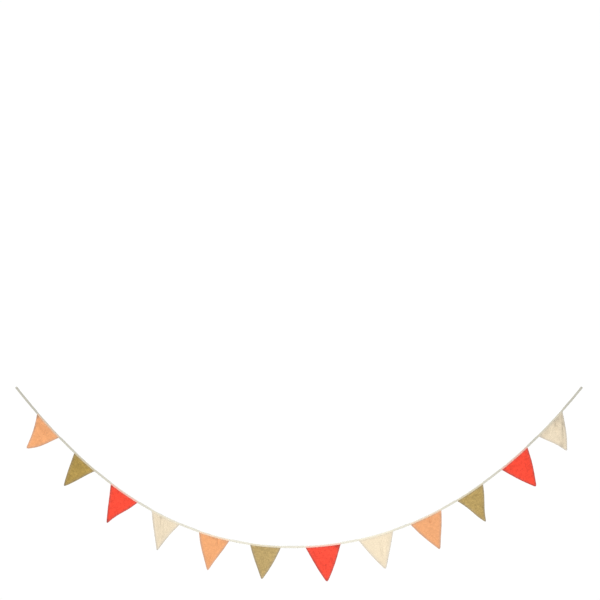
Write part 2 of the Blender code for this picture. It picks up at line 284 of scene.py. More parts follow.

# Soft patches of painted light and shade where a pennant is lighter or darker: their middles as
# shares across and down it, and half their sizes in mm
PaintedShadingPatch = namedtuple("PaintedShadingPatch", "pennant across fall half_width half_length shade")
PAINTED_SHADING_PATCHES = table(
    PaintedShadingPatch,
    (1, 0.52, 0.14, 34, 12, -0.12),
    (1, 0.35, 0.02, 20, 5, 0.03),
    (1, 0.86, 0.37, 10, 12, 0.07),
    (1, 0.70, 0.22, 10, 8, -0.08),
    (1, 0.70, 0.47, 11, 12, -0.08),
    (1, 0.50, 0.85, 12, 16, 0.06),
    (1, 0.04, 0.03, 11, 10, -0.28),
    (1, 0.03, 0.38, 7, 32, -0.18),
    (1, 0.98, 0.25, 9, 34, 0.07),
    (2, 0.38, 0.24, 16, 12, -0.17),
    (2, 0.12, 0.06, 9, 8, -0.07),
    (2, 0.10, 0.22, 7, 9, -0.06),
    (2, 0.90, 0.45, 7, 14, 0.10),
    (2, 0.92, 0.12, 12, 14, 0.12),
    (2, 0.65, 0.45, 16, 12, 0.08),
    (2, 0.35, 0.64, 10, 14, -0.15),
    (2, 0.28, 0.90, 9, 11, -0.20),
    (3, 0.05, 0.04, 10, 9, -0.18),
    (3, 0.35, 0.06, 16, 6, -0.07),
    (3, 0.72, 0.10, 16, 7, -0.07),
    (3, 0.60, 0.28, 14, 9, 0.04),
    (3, 0.97, 0.05, 10, 10, 0.07),
    (3, 0.70, 0.60, 8, 9, -0.05),
    (3, 0.10, 0.90, 7, 14, -0.12),
    (4, 0.30, 0.46, 6, 18, 0.08),
    (4, 0.34, 0.04, 8, 10, -0.20),
    (4, 0.46, 0.26, 6, 14, -0.09),
    (4, 0.56, 0.38, 8, 14, -0.08),
    (4, 0.64, 0.54, 8, 11, -0.11),
    (4, 0.78, 0.70, 6, 16, -0.09),
    (4, 0.03, 0.03, 10, 10, 0.09),
    (4, 0.94, 0.06, 12, 10, 0.06),
    (5, 0.10, 0.02, 10, 7, 0.05),
    (5, 0.50, 0.04, 14, 6, -0.15),
    (5, 0.80, 0.09, 12, 12, -0.07),
    (5, 0.60, 0.42, 8, 18, 0.06),
    (5, 0.25, 0.60, 8, 12, -0.06),
    (5, 0.42, 0.64, 8, 9, -0.06),
    (5, 0.95, 0.33, 7, 20, -0.10),
    (5, 0.45, 0.92, 9, 12, 0.12),
    (6, 0.22, 0.11, 10, 9, -0.10),
    (6, 0.50, 0.12, 20, 8, -0.10),
    (6, 0.84, 0.18, 10, 9, -0.12),
    (6, 0.56, 0.25, 15, 6, -0.06),
    (6, 0.55, 0.40, 12, 10, 0.05),
    (6, 0.25, 0.43, 8, 9, -0.08),
    (6, 0.95, 0.48, 8, 12, -0.14),
    (6, 0.62, 0.66, 7, 9, -0.14),
    (6, 0.50, 0.88, 8, 12, 0.10),
    (7, 0.90, 0.04, 14, 8, -0.32),
    (7, 0.92, 0.26, 8, 10, 0.08),
    (7, 0.80, 0.40, 7, 7, -0.15),
    (7, 0.16, 0.17, 8, 9, -0.05),
    (7, 0.06, 0.05, 10, 9, 0.07),
    (7, 0.45, 0.52, 9, 8, -0.09),
    (7, 0.50, 0.70, 8, 10, 0.10),
    (8, 0.98, 0.45, 7, 26, 0.08),
    (8, 0.73, 0.40, 5, 20, 0.03),
    (8, 0.97, 0.08, 8, 8, -0.03),
    (8, 0.15, 0.75, 9, 12, -0.09),
    (8, 0.15, 0.38, 8, 9, -0.04),
    (8, 0.04, 0.05, 11, 10, 0.05),
    (9, 0.64, 0.14, 8, 14, -0.08),
    (9, 0.03, 0.05, 12, 10, 0.07),
    (9, 0.97, 0.02, 9, 8, 0.11),
    (10, 0.62, 0.20, 16, 8, -0.09),
    (10, 0.30, 0.15, 9, 7, -0.06),
    (10, 0.67, 0.44, 8, 17, -0.13),
    (10, 0.78, 0.58, 8, 12, -0.08),
    (10, 0.85, 0.04, 10, 8, -0.06),
    (10, 0.12, 0.48, 8, 16, 0.09),
    (11, 0.30, 0.12, 16, 10, -0.07),
    (11, 0.62, 0.10, 12, 8, -0.06),
    (11, 0.97, 0.03, 8, 8, 0.07),
    (11, 0.75, 0.55, 10, 10, 0.09),
    (11, 0.70, 0.75, 8, 8, 0.09),
    (12, 0.78, 0.06, 24, 13, -0.22),
    (12, 0.75, 0.17, 7, 10, -0.12),
    (12, 0.97, 0.10, 7, 12, -0.10),
    (12, 0.66, 0.28, 8, 12, -0.08),
    (12, 0.64, 0.16, 7, 12, -0.14),
    (12, 0.52, 0.48, 9, 18, -0.06),
    (12, 0.28, 0.08, 16, 10, -0.14),
    (12, 0.90, 0.32, 7, 20, 0.12),
    (12, 0.78, 0.42, 5, 12, 0.06),
    (12, 1.00, 0.34, 7, 50, -0.14),
    (12, 0.38, 0.72, 11, 11, -0.21),
)
STREAK_SCALE = 62.0  # streaks to a metre of thread
STREAK_NARROWING = 4.0  # and how much closer they lie across the threads
BLOTCH_SCALE = 75.0
DYE_DETAIL = 3.0  # of the finest unevenness in threads, streaks and blotches
TAPE_COLOUR = (0.704, 0.683, 0.588)
TAPE_STREAKS = 0.03
TAPE_BLOTCHES = 0.02
TAPE_PAINTED_SHADE_LIGHTNESS = 0.64  # how light the tape is where its painted shade is deepest, towards its ends
TAPE_PALE = 0.12  # share of either half, from the middle, that keeps its full colour
TAPE_GREY = 1.08  # share at which it would be greyest, just past its end
TAPE_FILLED = 1.08  # how much lighter the tape is where a pennant fills it
SHOW_THROUGH = 0.33  # share of the pennant's colour that shows through the thin tape
SHOWN_VIVID = 0.30  # and how much more vivid than on the pennant it shows there
TINT_FADE = 0.003  # length over which that starts and ends
THREAD_COLOUR = (0.760, 0.735, 0.610)
PLY_SCALE = 900.0  # of the turns in the sewing thread
PLY_WAVER = 1.0  # and how much they wander
# painted shade in the grooves of the thread's twist, and painted light on its ridges
PLY_PAINTED_SHADES = (0.88, 1.05)
PLY_ROUGHNESS = (0.75, 0.60)
PLY_DEPTH = 0.00004
PLY_STRENGTH = 0.8
LIGHTNESS = (0.2126, 0.7152, 0.0722)  # what red, green and blue add to a colour's lightness
EDGE_SHADE_REACH = 0.0080  # of the painted shade along a sewn edge
HEM_PAINTED_SHADE = (0.0020, 0.0045, 0.4)  # painted shade under the tape's hem: its place, reach and strength

# The picture: a long lens square to the span
PICTURE_SIDE = 2.6706  # in the plane of the bunting
PICTURE_CENTRE = Vector((1.2645, 0.0, 0.38724))
LENS = 200.0
SENSOR = 36.0
CAMERA_REACH = 100.0
FLOOR_DROP = 2.0  # from the tied ends down to the floor
FLOOR_RADIUS = 11.0
FLOOR_CORNERS = 128  # of its rim
FLOOR_COLOUR = (0.88, 0.87, 0.85)
FLOOR_ROUGHNESS = 0.9
FLOOR_PALES = (3.5, 10.0)  # from its middle, where it starts and ends turning white
FLOOR_GLOW = 0.30  # light that makes it so white there
AMBIENT = 0.38  # light from all round, where white cloth in full light is about 1
BACKGROUND = 1.02  # and the plain white that the camera sees behind the bunting
WHITE = (1.0, 1.0, 1.0, 1.0)
Sun = namedtuple("Sun", "name aim degrees strength")  # degrees wide in the sky
SUNS = table(
    Sun,
    ("key", (0.5, 1.0, -0.45), 40.0, 2.515),
    ("rear", (-0.4, -1.0, -0.6), 60.0, 1.5),
)


class HangingLine:
    """The middle line of the tape, by the length run along it from its left end."""

    def __init__(self):
        self.x = np.linspace(0.0, SPAN, LINE_STEPS + 1)
        self.z = CATENARY * (np.cosh((self.x - SPAN / 2) / CATENARY) - math.cosh(SPAN / 2 / CATENARY))
        self.y = np.zeros_like(self.x)
        for wave in WAVES:
            along = np.sin(wave.half_waves * math.pi * self.x / SPAN)
            self.z += wave.height * MM * along
            self.y += wave.depth * MM * along
        steps = np.hypot(np.diff(self.x), np.diff(self.z))
        self.run = np.concatenate([[0.0], np.cumsum(steps)])
        self.length = float(self.run[-1])

    def points(self, run, down=0.0, back=0.0):
        """Points beside the line: down square to it in its own plane, and back along +Y."""
        reach = self.length / LINE_STEPS
        x, y, z = (np.interp(run, self.run, axis) for axis in (self.x, self.y, self.z))
        along_x, along_z = (
            np.interp(run + reach, self.run, axis) - np.interp(run - reach, self.run, axis)
            for axis in (self.x, self.z)
        )
        size = np.hypot(along_x, along_z)
        places = (x + down * along_z / size, y + back, z - down * along_x / size)
        return np.stack(np.broadcast_arrays(*places), axis=-1)


def smooth_step(value):
    """0 to 1 with level ends."""
    value = np.clip(value, 0.0, 1.0)
    return value * value * (3.0 - 2.0 * value)


def bell(value):
    """1 at 0, and smoothly down to nothing on either side."""
    return np.exp(-(value**2))


def noise_at(*axes):
    """Smooth noise from -1 to 1 at each point given by up to three arrays, in waves of about 1."""
    axes = np.broadcast_arrays(*[np.asarray(axis, float) for axis in axes])
    flat = np.stack([axis.ravel() for axis in axes], axis=-1)
    flat = np.pad(flat, ((0, 0), (0, 3 - flat.shape[1])))
    values = [noise.noise(Vector(point)) for point in flat]
    return np.array(values).reshape(axes[0].shape)


def add_object(name, data):
    """A new object in the scene."""
    added = bpy.data.objects.new(name, data)
    bpy.context.scene.collection.objects.link(added)
    return added


def add_piece(name, points, faces, place, dye=None):
    """A mesh piece from its points and faces, each point with its place on the flat cloth and its
    colour, painted shade included.
    """
    mesh = bpy.data.meshes.new(name)
    mesh.from_pydata(points.reshape(-1, 3).tolist(), [], faces)
    for label, values in (("cloth_place", place), ("dye", dye)):
        if values is not None:
            mesh.attributes.new(label, "FLOAT_VECTOR", "POINT")
            mesh.attributes[label].data.foreach_set("vector", values.astype(np.float32).ravel())
    mesh.shade_smooth()
    return add_object(name, mesh)


def flat_places(x, y, layer=0.0):
    """Places on the flat cloth as points, on a layer apart from other cloth."""
    return np.stack(np.broadcast_arrays(x, y, layer), axis=-1)


def grid_faces(rows, columns, closed=False):
    """Faces of a grid of points, row after row, which closes on itself across where asked."""
    last = columns if closed else columns - 1
    faces = []
    for row in range(rows - 1):
        for column in range(last):
            right = (column + 1) % columns
            here, below = row * columns, (row + 1) * columns
            faces.append((here + column, below + column, below + right, here + right))
    return faces


def mouth_opening(run):
    """How far the leaves are parted along the tape: 0 closed, 1 on a pennant."""
    opening = np.zeros_like(run)
    for pennant in PENNANTS:
        first = pennant.start * MM - MOUTH_CLEARANCE
        last = (pennant.start + pennant.width) * MM + MOUTH_CLEARANCE
        past = np.maximum(np.maximum(first - run, run - last), 0.0)
        opening = np.maximum(opening, 1.0 - smooth_step(past / MOUTH_TAPER))
    return opening


def inner_half_gap(run):
    """From the tape's middle to the inside of either leaf."""
    parted = HALF_CLOTH + LEAF_CLEARANCE
    return SHUT_HALF_GAP + (parted - SHUT_HALF_GAP) * mouth_opening(run)


def tape_section(half_gap, opening):
    """The folded strip's middle line: down, back and across the flat strip, for each half gap.

    It runs from the front's raw edge down inside the leaf, round the hem, up the outside, over
    the crown, and the same way down and up again at the back.
    """
    hem = TAPE_WIDTH / 2 - TAPE_CLOTH / 2
    turn = (TAPE_CLOTH + TURN_GAP) / 2
    inner = half_gap + TAPE_CLOTH / 2
    outer = inner + 2 * turn
    shoulder = -TAPE_WIDTH / 2 + TAKEN_UP * opening + TAPE_CLOTH / 2 + outer
    leaf = []
    for share in TURNED_IN_SHARES:
        leaf.append((hem - turn - (TURN_IN - TAKEN_UP * opening) * (1 - share), inner))
    for angle in HEM_ANGLES:
        leaf.append((hem - turn + turn * math.sin(angle), inner + turn - turn * math.cos(angle)))
    for share in OUTER_SHARES:
        leaf.append((hem - turn + (shoulder - hem + turn) * share, outer))
    for angle in CROWN_ANGLES:
        leaf.append((shoulder - outer * np.sin(angle), outer * math.cos(angle)))
    path = [(down, -out) for down, out in leaf] + [(shoulder - outer, 0.0)] + leaf[::-1]
    path = np.array([np.broadcast_arrays(*point, half_gap)[:2] for point in path])
    down, back = np.moveaxis(path, 0, -1)
    steps = np.hypot(np.diff(down, axis=-1), np.diff(back, axis=-1))
    across = np.concatenate([np.zeros_like(steps[..., :1]), np.cumsum(steps, axis=-1)], axis=-1)
    return down, back, across


def tape_turn(run, length):
    """Angle by which the tape is turned about its own line."""
    bare = 1.0 - mouth_opening(run)
    first = PENNANTS[0].start * MM
    last = (PENNANTS[-1].start + PENNANTS[-1].width) * MM
    tie = np.maximum(1.0 - run / first, (run - last) / (length - last))
    most = TWIST.size + (TIE_TWIST - TWIST.size) * smooth_step(tie)
    return bare * most * noise_at(run / TWIST.length, TWIST.seed)


def turned(down, back, angle):
    """Distances down and back from the tape's line, turned about that line."""
    return down * np.cos(angle) - back * np.sin(angle), down * np.sin(angle) + back * np.cos(angle)


def pennant_colour(row):
    """The pennant's cloth colour, darkened and paled as this pennant is; part of the darkening is
    painted shade where it hangs turned from the light.
    """
    colour = np.array(DYES_AND_EDGE_SHADES[row.colour][:3]) * row.shade
    return colour * (1.0 - row.fade) + row.fade


def tape_dye_and_shade(run, length, down):
    """The tape's colour: greyer with painted shade towards its ends, lighter and tinted where it
    holds a pennant.
    """
    # Painted shade, darker towards both ends, for the light that the tape's steep end stretches lose
    out = np.abs(2 * run / length - 1.0)
    painted_grey_share = smooth_step((out - TAPE_PALE) / (TAPE_GREY - TAPE_PALE))
    shade = 1.0 - (1.0 - TAPE_PAINTED_SHADE_LIGHTNESS) * painted_grey_share
    dye = shade[:, None, None] * np.broadcast_to(TAPE_COLOUR, (*down.shape, 3))
    over_tuck = smooth_step((down - TOP_LEVEL + TUCK) / TINT_FADE + 0.5)
    for row in PENNANTS:
        inside = np.minimum(run - row.start * MM, (row.start + row.width) * MM - run)
        held = smooth_step(inside / TINT_FADE + 0.5)[:, None, None]
        dye = dye * (1.0 + (TAPE_FILLED - 1.0) * held)
        colour = pennant_colour(row)
        shown = np.maximum(colour + SHOWN_VIVID * (colour - colour @ LIGHTNESS), 0.0)
        dye = dye + SHOW_THROUGH * held * over_tuck[..., None] * (shown - dye)
    return dye


def make_tape(line):
    """The tape as one folded sheet, whose thickness a modifier gives."""
    stations = int(round(line.length / TAPE_STEP)) + 1
    run = np.linspace(0.0, line.length, stations)
    down, back, across = tape_section(inner_half_gap(run), mouth_opening(run))
    dye = tape_dye_and_shade(run, line.length, down)
    lower = smooth_step((down + TAPE_WIDTH / 2) / TAPE_WIDTH)
    side = np.sign(back)
    ripple = noise_at(run[:, None] / RIPPLE.length, side * RIPPLE.seed) * lower
    back = back + side * RIPPLE.size * np.abs(ripple)
    down = down + WANDER.size * noise_at(run / WANDER.length, WANDER.seed)[:, None]
    down, back = turned(down, back, tape_turn(run, line.length)[:, None])
    points = line.points(run[:, None], down, back)
    faces = grid_faces(stations, down.shape[1])
    tape = add_piece("tape_cloth", points, faces, flat_places(run[:, None], across), dye)
    solid = tape.modifiers.new("Thickness", "SOLIDIFY")
    solid.thickness = TAPE_CLOTH
    solid.offset = 0.0
    solid.use_even_offset = True
    return tape


def stitch_faces(count):
    """Faces of so many stitches, each a row of rings that is closed at both ends."""
    first_end = tuple(range(STITCH_SIDES))
    last_end = tuple(range((STITCH_RINGS - 1) * STITCH_SIDES, STITCH_RINGS * STITCH_SIDES))
    one = grid_faces(STITCH_RINGS, STITCH_SIDES, closed=True) + [first_end, last_end[::-1]]
    faces = []
    for stitch in range(count):
        base = stitch * STITCH_RINGS * STITCH_SIDES
        faces += [tuple(base + corner for corner in face) for face in one]
    return faces


def make_stitches(line, name, side):
    """The line of stitches that shuts the tape, on its front (side -1) or its back (side 1)."""
    middle = np.arange(1, int(line.length / STITCH_PITCH)) * STITCH_PITCH
    if side > 0:
        middle += STITCH_PITCH / 2
    middle = middle[middle < line.length - STITCH_PITCH]
    stray = np.random.default_rng(STITCH_SEEDS[side])
    tilt = stray.normal(0.0, STITCH_TILT, len(middle))
    level = TAPE_WIDTH / 2 - STITCH_INSET + stray.normal(0.0, STITCH_JITTER, len(middle))
    share = np.linspace(-1.0, 1.0, STITCH_RINGS)
    angle = np.arange(STITCH_SIDES) * 2 * math.pi / STITCH_SIDES
    run = middle[:, None] + share * STITCH_LENGTH / 2
    thick = THREAD_HALF * np.sqrt(1.0 - (STITCH_NARROW * share) ** STITCH_POWER)
    down = level[:, None] + tilt[:, None] * share * STITCH_LENGTH / 2
    lift = THREAD_LIFT - (THREAD_LIFT + THREAD_HALF) * share**STITCH_POWER
    ring_down = down[..., None] + thick[:, None] * np.cos(angle)
    outside = inner_half_gap(run) + 2 * TAPE_CLOTH + TURN_GAP
    out = outside[..., None] + lift[:, None] + thick[:, None] * np.sin(angle)
    turn = tape_turn(run, line.length)[..., None]
    ring_down, back = turned(ring_down, side * out, turn)
    points = line.points(run[..., None], ring_down, back)
    if side > 0:
        points = points[:, :, ::-1]
    return add_piece(name, points, stitch_faces(len(middle)), flat_places(run[..., None], ring_down))


def row_shares():
    """Shares of the drop for the rows of points, with the rows inside the tape first."""
    even = np.arange(ROWS) / ROWS
    even = even[even < TIP_ROWS[0] - 0.5 / ROWS]
    return np.concatenate([np.zeros(len(TUCKED_ROWS)), even, TIP_ROWS])


def column_shares(width):
    """Shares of each row's width for the columns of points, close together along both sides."""
    band = np.array(EDGE_COLUMNS) * MM
    fit = np.minimum(1.0, EDGE_COLUMNS_SHARE * width / band[-1])
    first = band[None, :] * fit[:, None] / width[:, None]
    inner = np.linspace(0.0, 1.0, MIDDLE_COLUMNS + 1)[1:-1]
    middle = first[:, -1:] + inner[None, :] * (1.0 - 2 * first[:, -1:])
    return np.concatenate([first, middle, 1.0 - first[:, ::-1]], axis=1)


# A pennant's middle surface in rows of points: x and y are places on the flat cloth, share is of
# the drop, and narrow is the share of its width that a row keeps in the tip's own rounded end
Surface = namedtuple("Surface", "points x y edge_distance share narrow dye")


class PennantShape:
    """The middle surface of one pennant as it hangs, by its place across and down the cloth."""

    def __init__(self, line, number):
        self.line = line
        self.number = number
        self.row = PENNANTS[number - 1]
        self.start = self.row.start * MM
        self.width = self.row.width * MM
        self.drop = self.row.drop * MM
        self.left = line.points(self.start, TOP_LEVEL)
        self.right = line.points(self.start + self.width, TOP_LEVEL)
        chord = (self.right - self.left) * (1, 0, 1)
        self.across = chord / np.linalg.norm(chord)
        self.down = np.array((self.across[2], 0.0, -self.across[0]))
        self.middle = (self.left + self.right) / 2
        self.crossing = self.middle + self.down * self.drop + self.across * self.row.shift * MM

    def own(self, rows):
        """This pennant's rows of a table."""
        return [row for row in rows if row.pennant == self.number]

    def edge(self, corner, bow, wave, fall):
        """Points of a side edge, fall being 0 at the corner and 1 where the edges cross."""
        run = (self.crossing - corner) * (1, 0, 1)
        outward = np.array((run[2], 0.0, -run[0])) / np.linalg.norm(run)
        if outward @ (corner - self.middle) < 0:
            outward = -outward
        fall = np.clip(fall, 0.0, 1.0)[:, None]
        bulge = bow * np.sin(math.pi * fall) + wave * np.sin(2 * math.pi * fall)
        wander = noise_at(fall * self.drop / EDGE_WANDER.length, corner[0] * EDGE_WANDER.seed)
        wander = EDGE_WANDER.size * wander * smooth_step(fall / CORNER_HOLD)
        return corner + run * fall + outward * (bulge * MM + wander)

    def flat(self, points):
        """Places on the flat cloth, across and down from the pennant's left corner."""
        beside = points - self.left
        return beside @ self.across, beside @ self.down

    def flat_place(self, across, fall):
        """The place on the flat cloth at shares across and down the pennant."""
        left = self.left + (self.crossing - self.left) * fall
        right = self.right + (self.crossing - self.right) * fall
        return self.flat(left + (right - left) * across)

    def fold_depth(self, across, fall):
        """How far the cloth stands back from the tape's own line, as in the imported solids."""
        depth = self.row.curl * (2 * across - 1) ** 2 * (1.0 - fall) + self.row.lean * fall
        for fold in self.own(FOLDS):
            centre = fold.top + (fold.foot - fold.top) * fall
            rise = smooth_step((fall - fold.start) / (fold.crest - fold.start))
            ease = 1.0 - smooth_step((fall - fold.crest) / (1.0 - fold.crest))
            ridge = bell((across - centre) / fold.spread)
            depth = depth - fold.rise * (1.0 - fall) * rise * ease * ridge
        return depth * smooth_step(fall / RELEASE) * MM

    def crease_depth(self, x, y):
        """The finer creases, at places on the flat cloth."""
        depth = np.zeros_like(x)
        for crease in self.own(CREASES):
            x0, y0 = self.flat_place(crease.x0, crease.y0)
            x1, y1 = self.flat_place(crease.x1, crease.y1)
            length = math.hypot(x1 - x0, y1 - y0)
            along = ((x - x0) * (x1 - x0) + (y - y0) * (y1 - y0)) / length**2
            beside = ((x - x0) * (y1 - y0) - (y - y0) * (x1 - x0)) / length
            beside = beside - crease.bow * MM * np.sin(math.pi * np.clip(along, 0.0, 1.0))
            taper = smooth_step(np.minimum(along, 1.0 - along) * CREASE_SLOPE + CREASE_END)
            depth -= crease.rise * MM * bell(beside / (crease.half_width * MM)) * taper
        return depth

    def small_depth(self, across, x, y, edge_distance):
        """Puckers along the sewn sides, gathers under the tape, and soft waves all over."""
        seed = self.number * PENNANT_SEED
        pucker = PUCKER.size * noise_at(y / PUCKER.length, seed, 2 * across - 1)
        gather = GATHER.size * noise_at(x / GATHER.length, seed + GATHER.seed)
        pucker = pucker * bell(edge_distance / PUCKER_REACH)
        gather = gather * bell(y / GATHER_REACH)
        crumple = CRUMPLE.size * noise_at(x / CRUMPLE.length, y / CRUMPLE.length, seed)
        rumple = RUMPLE.size * noise_at(x / RUMPLE.length, y / RUMPLE.length, seed + RUMPLE.seed)
        return pucker + gather + (crumple + rumple) * smooth_step(y / GATHER_REACH)

    def surface(self):
        """The middle surface, from its top edge inside the tape down to its tip."""
        share = row_shares()
        fall = share * (1.0 - TIP_CUT)
        left = self.edge(self.left, self.row.left_bow, self.row.left_wave, fall)
        right = self.edge(self.right, self.row.right_bow, self.row.right_wave, fall)
        width = np.linalg.norm((right - left) * (1, 0, 1), axis=1)
        across = column_shares(width)
        round_off = np.clip((share - 1.0 + TIP_LENGTH / self.drop) / (TIP_LENGTH / self.drop), 0, 1)
        narrow = np.sqrt(1.0 - (TIP_NARROW * round_off) ** 2)
        spread = 0.5 + (across - 0.5) * narrow[:, None]
        fall = fall[:, None]
        run = self.start + across * self.width
        hem = self.line.points(run, TOP_LEVEL)
        flat_hem = self.left + (self.right - self.left) * across[..., None]
        points = left[:, None] + (right - left)[:, None] * spread[..., None]
        points = points + (hem - flat_hem) * (1.0 - fall[..., None])
        end = TIP_ROUND * (1.0 - (2 * across - 1) ** 2) * share[:, None] ** TIP_SHARPNESS
        points = points + self.down * end[..., None]
        to_left = across * width[:, None] * narrow[:, None]
        to_right = (1.0 - across) * width[:, None] * narrow[:, None]
        edge_distance = np.minimum(to_left, to_right)
        x, y = self.flat(points)
        level = hem[..., 1] + (self.middle[1] - hem[..., 1]) * fall
        points[..., 1] = level + self.fold_depth(across, fall)
        fine = self.crease_depth(x, y) + self.small_depth(across, x, y, edge_distance)
        points[..., 1] += smooth_step(y / CREASE_START) * fine
        for row, tuck in enumerate(TUCKED_ROWS):
            points[row] = self.line.points(run[row], TOP_LEVEL + tuck * TUCK)
            y[row] += tuck * TUCK
        dye = self.dye(x, y, to_left, to_right)
        return Surface(points, x, y, edge_distance, share, narrow, dye)

    def dye(self, x, y, to_left, to_right):
        """The colour at places on the flat cloth, with painted shade by how far they are from the
        sewn edges and the tape's hem, and soft patches of painted light and shade.
        """
        dye = DYES_AND_EDGE_SHADES[self.row.colour]
        colour = pennant_colour(self.row)
        # Painted shade along both sewn edges and under the tape's hem, adding up at the corners and
        # the tip; it greys the colour there too
        place, reach, strength = HEM_PAINTED_SHADE
        edge = strength * bell((y - place) / reach)
        for distance in (to_left, to_right):
            edge = edge + bell(distance / EDGE_SHADE_REACH)
        shade = 1.0 - dye.edge_dark * edge
        # Soft patches of painted light and shade
        for painted_patch in self.own(PAINTED_SHADING_PATCHES):
            middle_x, middle_y = self.flat_place(painted_patch.across, painted_patch.fall)
            off_x = (x - middle_x) / (painted_patch.half_width * MM)
            off_y = (y - middle_y) / (painted_patch.half_length * MM)
            shade = shade * (1.0 + painted_patch.shade * np.exp(-(off_x**2) - off_y**2))
        grey = colour @ LIGHTNESS
        painted_grey_share = dye.edge_grey * edge[..., None]
        return shade[..., None] * (colour + painted_grey_share * (grey - colour))


def half_thickness(surface, drop):
    """Half of the pennant's thickness: two layers, and the allowance that is turned in between."""
    allowance = 1.0 - smooth_step((surface.edge_distance - SEAM_ALLOWANCE) / SEAM_FADE + 0.5)
    bunch = smooth_step(1.0 - (1.0 - surface.share[:, None]) * drop / TIP_BUNCH)
    out_of_tape = smooth_step(surface.y / SEAM_START)
    half = HALF_CLOTH + (SEAM_RISE * allowance + TIP_RISE * bunch) * out_of_tape
    rounding = np.clip(1.0 - surface.edge_distance / EDGE_ROUND, 0.0, 1.0)
    return half * np.sqrt(1.0 - rounding**2) * surface.narrow[:, None]


def surface_normals(points):
    """Unit normals of a grid of points that face the viewer."""
    normals = np.cross(np.gradient(points, axis=0), np.gradient(points, axis=1))
    return normals / np.linalg.norm(normals, axis=-1, keepdims=True)


def end_faces(first, columns, ring, up):
    """Faces that close one end of a pennant's ring of points, between its front and its back."""
    faces = []
    for column in range(columns - 1):
        here = first + column
        back_here = first + (ring - column) % ring
        back_next = first + ring - column - 1
        if column == 0:
            face = (here, here + 1, back_next)
        elif column == columns - 2:
            face = (here, here + 1, back_here)
        else:
            face = (here, here + 1, back_next, back_here)
        faces.append(face if up else face[::-1])
    return faces


def around(front, rear):
    """Values across the front and back again over the rear, with the side edges only once."""
    return np.concatenate([front, rear[:, -2:0:-1]], axis=1)


def make_pennant(line, number):
    """One pennant as a closed sheet: its front and its rear, which meet in rounded side edges."""
    shape = PennantShape(line, number)
    surface = shape.surface()
    off = surface_normals(surface.points) * half_thickness(surface, shape.drop)[..., None]
    points = around(surface.points + off, surface.points - off)
    rows, columns = surface.x.shape
    ring = points.shape[1]
    faces = grid_faces(rows, ring, closed=True)
    faces += end_faces(0, columns, ring, up=True)
    faces += end_faces((rows - 1) * ring, columns, ring, up=False)
    apart = surface.x + number * PENNANT_APART
    place = around(flat_places(apart, surface.y), flat_places(apart, surface.y, REAR_APART))
    dye = around(surface.dye, surface.dye)
    return add_piece(f"pennant_{number:02d}_{shape.row.colour}_cloth", points, faces, place, dye)


class Nodes:
    """A material's nodes, each made with its inputs given as sockets or values."""

    def __init__(self, name):
        self.material = bpy.data.materials.new(name)
        self.material.use_nodes = True
        self.tree = self.material.node_tree
        self.shader = self.tree.nodes["Principled BSDF"]

    def add(self, kind, inputs=(), output=0, **settings):
        """A new node's output, which other nodes take as an input."""
        node = self.tree.nodes.new(kind)
        for setting, value in settings.items():
            setattr(node, setting, value)
        for socket, value in dict(inputs).items():
            self.feed(node.inputs[socket], value)
        return node.outputs[output]

    def feed(self, socket, value):
        if isinstance(value, bpy.types.NodeSocket):
            self.tree.links.new(value, socket)
        else:
            socket.default_value = value

    def shade(self, inputs):
        """Gives the shader its own inputs."""
        for socket, value in inputs.items():
            self.feed(self.shader.inputs[socket], value)

    def math(self, operation, first, second=0.0, third=0.0):
        return self.add("ShaderNodeMath", {0: first, 1: second, 2: third}, operation=operation)

    def times(self, first, second):
        return self.math("MULTIPLY", first, second)

    def vector(self, x, y, z):
        return self.add("ShaderNodeCombineXYZ", {"X": x, "Y": y, "Z": z})

    def attribute(self, name):
        return self.add("ShaderNodeAttribute", output="Vector", attribute_name=name)

    def noise(self, place, scale, detail=DYE_DETAIL):
        """Noise from about 0 to 1, with scale waves to a metre."""
        return self.add("ShaderNodeTexNoise", {"Vector": place, "Scale": scale, "Detail": detail})

    def bump(self, height, depth, strength):
        inputs = {"Height": height, "Distance": depth, "Strength": strength}
        return self.add("ShaderNodeBump", inputs)

    def spread(self, value, low, high):
        """A value from 0 to 1 as a factor from low to high."""
        return self.math("MULTIPLY_ADD", value, high - low, low)

    def scaled(self, colour, factor):
        """A colour times a factor, by the mix node's own numbers for its colour sockets."""
        inputs = {0: 1.0, 6: colour, 7: self.vector(factor, factor, factor)}
        return self.add("ShaderNodeMix", inputs, output=2, data_type="RGBA", blend_type="MULTIPLY")


def plain_weave(nodes, x, y):
    """Plain weave at x, y counted in threads: its height, 0 in the gaps and 1 on a thread, and
    whether the thread on top is one that runs along y."""
    sides = []
    for across, along, sign in ((x, y, 0.5), (y, x, -0.5)):
        profile = nodes.math("SINE", nodes.times(nodes.math("FRACT", across), math.pi))
        phase = nodes.math("ADD", nodes.math("SUBTRACT", along, 0.5), nodes.math("FLOOR", across))
        over = nodes.math("COSINE", nodes.times(phase, math.pi))
        over = nodes.math("MULTIPLY_ADD", over, sign, 0.5)
        sides.append(nodes.times(profile, over))
    height = nodes.math("MAXIMUM", *sides)
    on_top = nodes.math("GREATER_THAN", *sides)
    return height, on_top


def top_thread(nodes, x, y, layer, on_top):
    """How light and thick the thread on top is there, from about 0 to 1."""
    threads = []
    for across, along in ((x, y), (y, x)):
        number = nodes.times(nodes.math("FLOOR", across), THREAD_APART)
        length = nodes.times(along, THREAD_CHANGE)
        threads.append(nodes.noise(nodes.vector(number, length, layer), 1.0))
    upright = nodes.times(threads[0], on_top)
    level = nodes.times(threads[1], nodes.math("SUBTRACT", 1.0, on_top))
    return nodes.math("ADD", upright, level)


